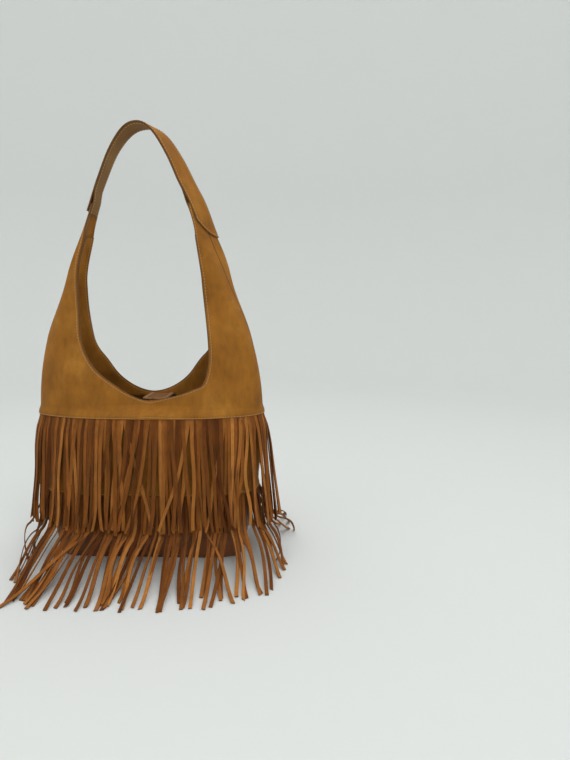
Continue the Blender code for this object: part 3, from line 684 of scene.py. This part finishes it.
def facing_grids(side):
    scoop_angles, scoop_heights = scoop_outline(side, YOKE_COLUMNS, FACING_TRIM)
    lift = smooth_step((scoop_heights - SHOULDER_HEIGHT) / (NECK_HEIGHT - SHOULDER_HEIGHT))
    centred = scoop_angles - math.pi / 2
    spread = 1.0 + FACING_SPREAD * FACING_WIDTH / half_depth(scoop_heights)
    lower_angles = math.pi / 2 + np.clip(centred * spread, -math.pi / 2, math.pi / 2)
    lower_angles = lower_angles + (np.where(centred > 0, math.pi, 0.0) - lower_angles) * lift
    lower_heights = scoop_heights - FACING_WIDTH * (1.0 - lift)
    rows = YOKE_ROWS // 2
    heights = between(scoop_heights, lower_heights, rows)
    angles = inside_side_seams(between(scoop_angles, lower_angles, rows), heights)
    share = np.linspace(0.0, 1.0, rows + 1)[:, None]
    ease = SEAM_GAP / 3 + (FACING_EASE - SEAM_GAP / 3) * smooth_step(share / 0.25)
    outer = body_point(angles, heights, PANEL_THICKNESS + ease, side)
    inner = body_point(angles, heights, PANEL_THICKNESS + ease + FACING_THICKNESS, side)
    return outer, inner


def band_grids(low, high, inset, thickness, side, hem_at=None, wrinkle=0.0):
    """A panel of the whole front or back between two heights, which may differ along it."""
    columns = np.linspace(0.0, math.pi, BAND_COLUMNS + 1)
    low, high = np.broadcast_to(low, columns.shape), np.broadcast_to(high, columns.shape)
    heights = between(low, high, BAND_ROWS)
    angles = inside_side_seams(np.broadcast_to(columns, heights.shape), heights)
    inset = np.full(heights.shape, inset)
    if hem_at is not None:
        inset = inset - hem_lift(heights, hem_at)
    if wrinkle:
        folds = np.sin(17.0 * angles + 40.0 * heights) * np.sin(6.0 * angles - 24.0 * heights + side)
        inset = inset + wrinkle * (0.5 + 0.5 * folds) * np.sin(angles)
    return body_point(angles, heights, inset, side), body_point(angles, heights, inset + thickness, side)


def lining_top():
    columns = np.linspace(0.0, math.pi, BAND_COLUMNS + 1)
    middle = RIM_LOW_HEIGHT - FACING_WIDTH + FACING_LAP
    top = (SHOULDER_HEIGHT + NECK_HEIGHT) / 2
    return middle + (top - middle) * np.abs(np.cos(columns)) ** LINING_RISE_POWER


for label, side in (("front", -1), ("back", 1)):
    outer, inner = yoke_grids(side)
    add_sheet(f"{label}_yoke_leather", outer, inner, [tan, tan_edge], "bag",
              [f"{label}_yoke"], turned=side > 0)
    add_stitches(f"{label}_scoop_stitches", *line_inside(outer, inner, STITCH_MARGIN))
    corner = int(YOKE_COLUMNS * YOKE_SIDE_SHARE) + 1
    seam_line, seam_normals = line_inside(outer[::-1], inner[::-1], STITCH_MARGIN)
    add_stitches(f"{label}_yoke_seam_stitches", seam_line[corner:-corner], seam_normals[corner:-corner])

    outer, inner = facing_grids(side)
    add_sheet(f"{label}_facing_leather", outer, inner, [tan, tan_edge], "bag",
              [f"{label}_facing"], turned=side > 0)
    add_stitches(f"{label}_facing_stitches", *line_inside(inner, outer, STITCH_MARGIN))

    outer, inner = band_grids(LOWER_SEAM_HEIGHT - HEM_LAP, UPPER_SEAM_HEIGHT - SEAM_GAP, 0.0,
                              PANEL_THICKNESS, side, LOWER_SEAM_HEIGHT)
    add_sheet(f"{label}_mid_leather", outer, inner, [tan, tan_edge], "bag",
              [f"{label}_mid_panel"], turned=side < 0)
    add_stitches(f"{label}_mid_seam_stitches", *line_inside(outer, inner, STITCH_MARGIN))

    outer, inner = band_grids(BASE_THICKNESS + SEAM_GAP, LOWER_SEAM_HEIGHT - SEAM_GAP, 0.0,
                              PANEL_THICKNESS, side)
    add_sheet(f"{label}_lower_leather", outer, inner, [smooth], "bag",
              [f"{label}_lower_panel"], turned=side < 0)

    lining_inset = PANEL_THICKNESS + FACING_EASE + FACING_THICKNESS + LINING_EASE
    outer, inner = band_grids(BASE_THICKNESS + 2 * SEAM_GAP + LINING_THICKNESS, lining_top(),
                              lining_inset, LINING_THICKNESS, side, wrinkle=LINING_WRINKLE)
    lining = add_sheet(f"{label}_lining_cloth", outer, inner, [cloth], "bag",
                       [f"{label}_lining"], turned=side < 0)


def strap_line():
    """The strap's middle line, in the plane of the horns and before the twist: x and z, with its length."""
    arch = STRAP_TOP_HEIGHT - HORN_TOP_HEIGHT
    top_half = WIDTHS[-1] / 2
    lap_low = HORN_LAP_HEIGHT - LAP_CURVE_RISE
    ends = [(float(half_width(lap_low)), lap_low), (WIDTHS[-2] / 2, HORN_LAP_HEIGHT),
            (top_half, HORN_TOP_HEIGHT)]
    points = [(-x, z) for x, z in ends]
    points += [(-top_half * across, HORN_TOP_HEIGHT + arch * up) for across, up in STRAP_LEFT_ARCH]
    points += [(0.0, STRAP_TOP_HEIGHT)]
    points += [(top_half * across, HORN_TOP_HEIGHT + arch * up) for across, up in STRAP_RIGHT_ARCH]
    points += ends[::-1]
    share = np.linspace(0.0, 1.0, 600)
    knots = np.linspace(0.0, 1.0, len(points))
    x = curve_through(knots, [p[0] for p in points], share)
    z = curve_through(knots, [p[1] for p in points], share)
    along = np.concatenate([[0.0], np.cumsum(np.hypot(np.diff(x), np.diff(z)))])
    return x, z, along


def strap_grids(inset, closed_inset, thickness, width, left_end, right_end, right_rise, crown):
    """A ribbon along the strap's line that ends at these heights. Its right end is cut on a curve."""
    x, z, along = strap_line()
    run = unit(np.stack([np.gradient(x, along), np.gradient(z, along)], axis=-1))
    inward = np.stack([run[:, 1], -run[:, 0]], axis=-1)
    middle = len(x) // 2
    outer, inner = [], []
    for v in np.linspace(-1.0, 1.0, STRAP_ROWS + 1):
        cut = right_end + right_rise * ((1.0 - v) / 2) ** LAP_CURVE_POWER
        start_at = np.interp(left_end, z[:middle], along[:middle])
        stop_at = np.interp(-cut, -z[middle:], along[middle:])
        at = np.linspace(start_at, stop_at, STRAP_COLUMNS + 1)
        px, pz = np.interp(at, along, x), np.interp(at, along, z)
        nx, nz = np.interp(at, along, inward[:, 0]), np.interp(at, along, inward[:, 1])
        closed = smooth_step((pz - HORN_TOP_HEIGHT) / (STRAP_CLOSED_HEIGHT - HORN_TOP_HEIGHT))
        depth = inset + (closed_inset - inset) * closed - crown * (1.0 - v * v)
        y = v * width / 2 + STRAP_EDGE_WAVE * np.sin(60.0 * at + v)
        for grid, off in ((outer, 0.0), (inner, thickness)):
            grid.append(twisted(np.stack([px + nx * (depth + off), y, pz + nz * (depth + off)], axis=-1)))
    return np.array(outer), np.array(inner)


outer_inset = -SEAM_GAP - STRAP_THICKNESS
outer, inner = strap_grids(outer_inset, outer_inset, STRAP_THICKNESS, STRAP_WIDTH, LEFT_LAP_HEIGHT,
                           RIGHT_LAP_HEIGHT, LAP_CURVE_RISE, STRAP_CROWN)
add_sheet("strap_leather", outer, inner, [tan, tan_edge], "bag", ["strap"])
for label, flip in (("front", False), ("back", True)):
    line, ups = line_inside(outer[::-1] if flip else outer, inner[::-1] if flip else inner, STITCH_MARGIN)
    add_stitches(f"strap_{label}_edge_stitches", line, ups)
across_outer, across_inner = outer.transpose(1, 0, 2), inner.transpose(1, 0, 2)
for label, flip in (("left", False), ("right", True)):
    line, ups = line_inside(across_outer[::-1] if flip else across_outer,
                            across_inner[::-1] if flip else across_inner, STITCH_MARGIN)
    add_stitches(f"{label}_lap_stitches", line, ups)
lining_open = PANEL_THICKNESS + STRAP_INNER_EASE
outer, inner = strap_grids(lining_open, -SEAM_GAP + STRAP_CLOSED_GAP, STRAP_LINING_THICKNESS,
                           STRAP_WIDTH - 2 * SEAM_GAP, INNER_END_HEIGHT, INNER_END_HEIGHT, 0.0,
                           STRAP_INNER_CROWN)
add_sheet("strap_inner_suede", outer, inner, [strap_suede, tan_edge], "bag",
          ["strap_lining"])
for label, flip in (("front", False), ("back", True)):
    line, ups = line_inside(inner[::-1] if flip else inner, outer[::-1] if flip else outer, STITCH_MARGIN)
    add_stitches(f"strap_inner_{label}_stitches", line, ups)


def strip_roots(height, count):
    """Evenly spaced angles along one side of the body at this height."""
    fine = np.linspace(0.0, math.pi, 600)
    points = body_point(fine, np.full_like(fine, height))
    along = np.concatenate([[0.0], np.cumsum(np.linalg.norm(np.diff(points, axis=0), axis=1))])
    return np.interp((np.arange(count) + 0.5) / count * along[-1], along, fine)


def directions(angle, height, side):
    """Unit vectors out of the body and along it towards +X, both level."""
    ahead = body_point(min(angle + 0.01, math.pi), height, 0.0, side)
    behind = body_point(max(angle - 0.01, 0.0), height, 0.0, side)
    run = (behind - ahead) * (1, 1, 0)
    run = run / np.linalg.norm(run)
    normal = np.array([run[1], -run[0], 0.0])
    return normal * (1.0 if normal[1] * side >= 0 else -1.0), run


def upper_path(angle, side):
    """An upper strip hangs down clear of the body, leans with its neighbours and swells out."""
    t = np.linspace(0.0, 1.0, STRIP_RINGS)[:, None]
    root = body_point(angle, UPPER_SEAM_HEIGHT - SEAM_GAP, -ROOT_LIFT, side)
    normal, along = directions(angle, UPPER_SEAM_HEIGHT, side)
    sideways = abs(normal[0])
    gathered = 3.2 * math.sin(95.0 * root[0] + side) + 2.2 * math.sin(41.0 * root[0] + 2.0 * side)
    lean = random.normal(0.0, 2.6) + gathered - 4.0 * math.sin(angle) * (root[0] < 0.03)
    if random.rand() < 0.18:
        lean += random.normal(-5.0, 9.0)
    lean = math.radians(np.clip(lean * (1.0 - 0.7 * sideways), *UPPER_LEAN_LIMITS))
    length = UPPER_LENGTH * (1.0 - 0.07 * random.rand() ** 1.5)
    layer = random.choice(UPPER_LAYERS)
    flare = 0.004 + 0.008 * random.rand() + sideways ** 2 * 0.010 * random.rand()
    bow = random.normal(0.0, 0.0035)
    curl = random.normal(0.0, 0.0016)
    out = 0.0042 * smooth_step(t / 0.16) + layer * smooth_step(t / 0.35) + flare * t ** 1.4
    drift = length * math.tan(lean) * t ** 1.35 + bow * np.sin(math.pi * t) * t
    drift = drift + curl * np.sin(3.0 * math.pi * t) * t
    fall = length * math.cos(lean) * t
    return root + normal * out + along * drift - np.array([0.0, 0.0, 1.0]) * fall, along


def lower_path(angle, side):
    """A lower strip falls behind the upper tier, comes out below its tips and slopes to the floor.
    Near the side seams it sweeps forwards, or backwards on the back, more than sideways. No run
    goes past LEFT_END."""
    t = np.linspace(0.0, 1.0, STRIP_RINGS)
    root = body_point(angle, LOWER_SEAM_HEIGHT - SEAM_GAP, -ROOT_LIFT, side)
    normal, along = directions(angle, LOWER_SEAM_HEIGHT, side)
    forward = abs(normal[1])
    side_reach = RIGHT_REACH if normal[0] > 0 else LEFT_REACH
    reach = FRONT_REACH * (1.0 - 0.20 * random.rand() ** 1.4 - 0.10 * (root[0] > 0.06))
    reach = reach * forward ** REACH_POWER + SIDE_SWEEP * abs(normal[0]) * (0.55 + 0.5 * random.rand())
    drift = random.normal(0.0, 0.006) + 0.008 * math.sin(70.0 * root[0] + 1.5 * side)
    drift = drift + LOWER_SPREAD * (root[0] + 0.01) * forward
    if random.rand() < 0.13:
        drift += random.normal(0.0, 0.028)
    run = np.array([normal[0] * side_reach * (0.6 + 0.5 * random.rand()), side * reach, 0.0]) + along * drift
    run[0] = max(run[0], LEFT_END - root[0])
    out = curve_through(LOWER_STATIONS, LOWER_OUT, t)[:, None]
    height = curve_through(LOWER_STATIONS, LOWER_HEIGHTS, t)
    lifted = 1.0 + 0.30 * random.rand() * np.sin(math.pi * np.clip((t - 0.4) / 0.6, 0.0, 1.0))
    bulge = SIDE_BULGE * normal[0] * abs(normal[0]) * random.rand() * np.sin(math.pi * t ** 0.9)
    path = root * (1, 1, 0) + run * out + np.array([1.0, 0.0, 0.0]) * bulge[:, None]
    path[:, 2] = height * lifted + 0.0010 * random.rand() * t
    bow = random.normal(0.0, 0.0035)
    curl = random.normal(0.0, 0.0022)
    wander = bow * np.sin(math.pi * t) * t + curl * np.sin(2.6 * math.pi * t) * t
    return path + along * wander[:, None], along


def add_fringe(name, side, height, count, path_of, node, twist_most, floor_held):
    """One tier on one side: strips with their own tone, partly painted shade and painted light, their own
    twist and a square-cut tip.
    """
    points, faces, tones, face_looks = [], [], [], []
    t = np.linspace(0.0, 1.0, STRIP_RINGS)
    for angle in strip_roots(height, count):
        path, along = path_of(angle, side)
        tangent = unit(np.gradient(path, axis=0))
        wide = unit(along[None] - (tangent @ along)[:, None] * tangent)
        normal = np.cross(tangent, wide)
        twist = math.radians(np.clip(random.normal(0.0, twist_most / 2), -twist_most, twist_most))
        turn = twist * (np.sin(math.pi * t) if floor_held else t ** 1.4)
        wide, thick = (wide * np.cos(turn)[:, None] + normal * np.sin(turn)[:, None],
                       normal * np.cos(turn)[:, None] - wide * np.sin(turn)[:, None])
        broad = STRIP_WIDTH / 2 * (STRIP_WIDTH_LEAST + STRIP_WIDTH_VARIES * random.rand())
        half = broad * (1.0 - STRIP_TAPER * t)[:, None]
        deep = FRINGE_THICKNESS / 2
        rings = np.stack([path - wide * half - thick * deep, path + wide * half - thick * deep,
                          path + wide * half + thick * deep, path - wide * half + thick * deep], axis=1)
        cut = random.normal(0.0, TIP_SLANT)
        rings[-1, (0, 3)] += tangent[-1] * cut
        rings[-1, (1, 2)] -= tangent[-1] * cut
        rings[..., 2] = np.maximum(rings[..., 2], FLOOR_CLEARANCE)
        start = len(points)
        points.extend(rings.reshape(-1, 3))
        # The tone: the strip's own, spread wide partly as painted shade between strips, plus a painted
        # highlight rising to the tip where the strip faces up to the light.
        tone = random.normal(TONE_MIDDLE, TONE_AND_PAINTED_SHADE_SPREAD) + PAINTED_TIP_LIGHT_RISE * (t - 0.4)
        tones.extend(np.repeat(np.clip(tone, 0, 1), 4))
        for ring in range(STRIP_RINGS - 1):
            for edge in range(4):
                a, b = start + 4 * ring + edge, start + 4 * ring + (edge + 1) % 4
                faces.append((a, b, b + 4, a + 4))
                face_looks.append(edge % 2)
        tip = start + 4 * (STRIP_RINGS - 1)
        faces.append((start + 3, start + 2, start + 1, start))
        faces.append((tip, tip + 1, tip + 2, tip + 3))
        face_looks += [1, 1]
    made = add_mesh(name, points, faces, [suede, suede_edge], "bag", [node], None, face_looks)
    layer = made.data.attributes.new("tone", "FLOAT", "POINT")
    layer.data.foreach_set("value", np.asarray(tones, np.float32))
    return made


for label, side in (("front", -1), ("back", 1)):
    for tier, seam, count, path_of, twist_most in (
            ("upper", UPPER_SEAM_HEIGHT, UPPER_STRIPS, upper_path, UPPER_TWIST_MOST),
            ("lower", LOWER_SEAM_HEIGHT, LOWER_STRIPS, lower_path, LOWER_TWIST_MOST)):
        add_fringe(f"{label}_{tier}_strips", side, seam, count, path_of, f"{label}_{tier}_fringe", twist_most,
                   tier == "lower")
        outer, inner = band_grids(seam - HEADER_HEIGHT, seam - SEAM_GAP, -HEADER_LIFT, HEADER_THICKNESS, side)
        header = add_sheet(f"{label}_{tier}_header", outer, inner, [suede, suede_edge], "bag",
                           turned=side < 0)
        layer = header.data.attributes.new("tone", "FLOAT", "POINT")
        layer.data.foreach_set("value", np.full(len(header.data.vertices), HEADER_TONE, np.float32))


# Closure tabs: the radius of the tip as a share of the half width, how far the top and bottom are
# rounded over at the edges, and how far in from the edge the two rows of stitches run
TAB_TIP_SHARE = 0.66
TAB_ROUNDING = 0.0005
TAB_ROWS = 40
TAB_COLUMNS = 16
TAB_STITCH_MARGINS = (("outer", 0.0025), ("inner", 0.0050))


def tab_grids(node, tip_low):
    """A flat tab from its node's box, with a rounded tip and a soft crown."""
    low, high = corners_of(node)
    root, tip = (high[1], low[1]) if tip_low else (low[1], high[1])
    centre, half = (low[0] + high[0]) / 2, (high[0] - low[0]) / 2
    radius = half * TAB_TIP_SHARE
    outer, inner = [], []
    for y in np.linspace(root, tip, TAB_ROWS + 1):
        left = radius - min(abs(tip - y), radius)
        reach = half - radius + math.sqrt(max(radius ** 2 - left ** 2, 1e-8))
        v = np.linspace(-1.0, 1.0, TAB_COLUMNS + 1)
        fade = np.clip((1.0 - np.abs(v)) * 6, 0, 1) ** 0.5
        x = centre + reach * v
        outer.append(np.stack([x, np.full_like(x, y), high[2] - TAB_ROUNDING * (1 - fade)], axis=-1))
        inner.append(np.stack([x, np.full_like(x, y), low[2] + TAB_ROUNDING * (1 - fade)], axis=-1))
    return np.array(outer), np.array(inner)


for node, body, tip_low in (("closure_tab", "tab", True), ("catch_tab", "bag", False)):
    outer, inner = tab_grids(node, tip_low)
    # The tabs wear the darker nubuck copy, which is painted shade.
    add_sheet(f"{node}_leather", outer, inner, [tab_painted_shade_look, tan_edge], body, [node],
              turned=tip_low)
    across_outer, across_inner = outer.transpose(1, 0, 2), inner.transpose(1, 0, 2)
    for label, flip in (("left", False), ("right", True)):
        for row, margin in TAB_STITCH_MARGINS:
            line, ups = line_inside(across_outer[::-1] if flip else across_outer,
                                    across_inner[::-1] if flip else across_inner, margin)
            add_stitches(f"{node}_{label}_{row}_stitches", line, ups, body)


def add_plate(name, rings, look, node):
    """A flat plate of the base's outline, from rings of inset and height, closed with a fan at each end."""
    turns = np.linspace(0.0, 2.0 * math.pi, 2 * BAND_COLUMNS, endpoint=False)
    side = np.where(turns < math.pi, 1, -1)
    folded = np.where(turns < math.pi, turns, 2.0 * math.pi - turns)
    points, faces = [], []
    for inset, height in rings:
        ring = body_point(folded, np.zeros_like(turns), inset, side)
        ring[:, 2] = height
        points.extend(ring)
    count = len(turns)
    for row in range(len(rings) - 1):
        for column in range(count):
            ahead = (column + 1) % count
            faces.append((row * count + column, row * count + ahead,
                          (row + 1) * count + ahead, (row + 1) * count + column))
    low, high = len(points), len(points) + 1
    points.extend([(0.0, 0.0, rings[0][1]), (0.0, 0.0, rings[-1][1])])
    last = (len(rings) - 1) * count
    for column in range(count):
        ahead = (column + 1) % count
        faces.append((low, ahead, column))
        faces.append((high, last + column, last + ahead))
    return add_mesh(name, points, faces, [look], "bag", [node])


add_plate("base_leather", ((0.0040, 0.0), (0.0014, 0.0003), (0.0003, 0.0013), (0.0, 0.0026),
                           (0.0, BASE_THICKNESS)), smooth, "base_panel")
base_cloth_low = BASE_THICKNESS + SEAM_GAP
base_cloth_inset = PANEL_THICKNESS + FACING_THICKNESS
base_cloth = add_plate("base_cloth", ((base_cloth_inset, base_cloth_low),
                                      (base_cloth_inset, base_cloth_low + LINING_THICKNESS)),
                       cloth, "base_lining")
base_cloth_size = (float(2 * (half_width(0.0) - base_cloth_inset)),
                   float(2 * (half_depth(0.0) - base_cloth_inset)))

for node in ("snap_stud", "snap_socket"):
    part = frame["nodes"][node]
    part.data.materials.clear()
    part.data.materials.append(metal)


# Stage: a wide pale floor that sweeps up all round into the backdrop
FLOOR_COLOUR = (0.735, 0.757, 0.745)
FLAT_RADIUS = 1.7
SWEEP_RADIUS = 1.0
WALL_HEIGHT = 2.6
STAGE_SEGMENTS = 96


def add_stage():
    profile = [(0.6, 0.0), (1.2, 0.0), (FLAT_RADIUS, 0.0)]
    for step in range(1, 13):
        turn = math.pi / 2 * step / 12
        profile.append((FLAT_RADIUS + SWEEP_RADIUS * math.sin(turn), SWEEP_RADIUS * (1 - math.cos(turn))))
    profile.append((FLAT_RADIUS + SWEEP_RADIUS, WALL_HEIGHT))
    points, faces = [(0.0, 0.0, 0.0)], []
    for radius, height in profile:
        for step in range(STAGE_SEGMENTS):
            turn = 2 * math.pi * step / STAGE_SEGMENTS
            points.append((radius * math.cos(turn), radius * math.sin(turn), height))
    for step in range(STAGE_SEGMENTS):
        ahead = (step + 1) % STAGE_SEGMENTS
        faces.append((0, 1 + step, 1 + ahead))
        for row in range(len(profile) - 1):
            a, b = 1 + row * STAGE_SEGMENTS + step, 1 + row * STAGE_SEGMENTS + ahead
            faces.append((a, a + STAGE_SEGMENTS, b + STAGE_SEGMENTS, b))
    mesh = bpy.data.meshes.new("stage")
    mesh.from_pydata(points, [], faces)
    mesh.shade_smooth()
    stage = bpy.data.objects.new("stage", mesh)
    bpy.context.scene.collection.objects.link(stage)
    stage.visible_shadow = False
    look = bpy.data.materials.new("stage_paper")
    look.use_nodes = True
    shader = look.node_tree.nodes["Principled BSDF"]
    shader.inputs["Base Color"].default_value = (*FLOOR_COLOUR, 1.0)
    shader.inputs["Roughness"].default_value = 0.9
    shader.inputs["Specular IOR Level"].default_value = 0.1
    mesh.materials.append(look)


def add_area_light(name, place, aim, size, power):
    light = bpy.data.lights.new(name, "AREA")
    light.shape = "DISK"
    light.size = size
    light.energy = power
    made = bpy.data.objects.new(name, light)
    made.location = place
    made.rotation_mode = "QUATERNION"
    made.rotation_quaternion = (Vector(aim) - Vector(place)).to_track_quat("-Z", "Y")
    bpy.context.scene.collection.objects.link(made)


def add_lights():
    add_area_light("key_light", (0.7, -1.3, 2.1), (0.0, 0.0, 0.25), 1.2, 13.0)
    add_area_light("top_light", (-0.5, 0.3, 2.3), (0.0, 0.0, 0.2), 1.6, 4.0)
    world = bpy.data.worlds.new("studio")
    world.use_nodes = True
    world.node_tree.nodes["Background"].inputs["Color"].default_value = (1.0, 1.0, 0.995, 1.0)
    world.node_tree.nodes["Background"].inputs["Strength"].default_value = 1.0
    bpy.context.scene.world = world


# Camera: where the photograph was taken from, with the bag left of the middle as there
CAMERA_DISTANCE = 0.86
CAMERA_HEIGHT = 0.37
CAMERA_ROUND = math.radians(15.0)
CAMERA_PITCH = math.radians(7.9)
BAG_TO_LEFT = math.radians(13.3)
FOCAL_PIXELS = 571.0
IMAGE_HEIGHT_PIXELS = 760.0
SENSOR_WIDTH = 36.0


def add_camera():
    data = bpy.data.cameras.new("camera")
    data.sensor_width = SENSOR_WIDTH
    data.lens = FOCAL_PIXELS / IMAGE_HEIGHT_PIXELS * SENSOR_WIDTH
    data.clip_start = 0.02
    camera = bpy.data.objects.new("camera", data)
    yaw = CAMERA_ROUND - BAG_TO_LEFT
    forward = Vector((-math.sin(yaw) * math.cos(CAMERA_PITCH), math.cos(yaw) * math.cos(CAMERA_PITCH),
                      -math.sin(CAMERA_PITCH)))
    camera.location = (CAMERA_DISTANCE * math.sin(CAMERA_ROUND), -CAMERA_DISTANCE * math.cos(CAMERA_ROUND),
                       CAMERA_HEIGHT)
    camera.rotation_mode = "QUATERNION"
    camera.rotation_quaternion = forward.to_track_quat("-Z", "Y")
    bpy.context.scene.collection.objects.link(camera)
    bpy.context.scene.camera = camera


add_stage()
add_lights()
add_camera()
bpy.context.scene.view_settings.view_transform = "Standard"
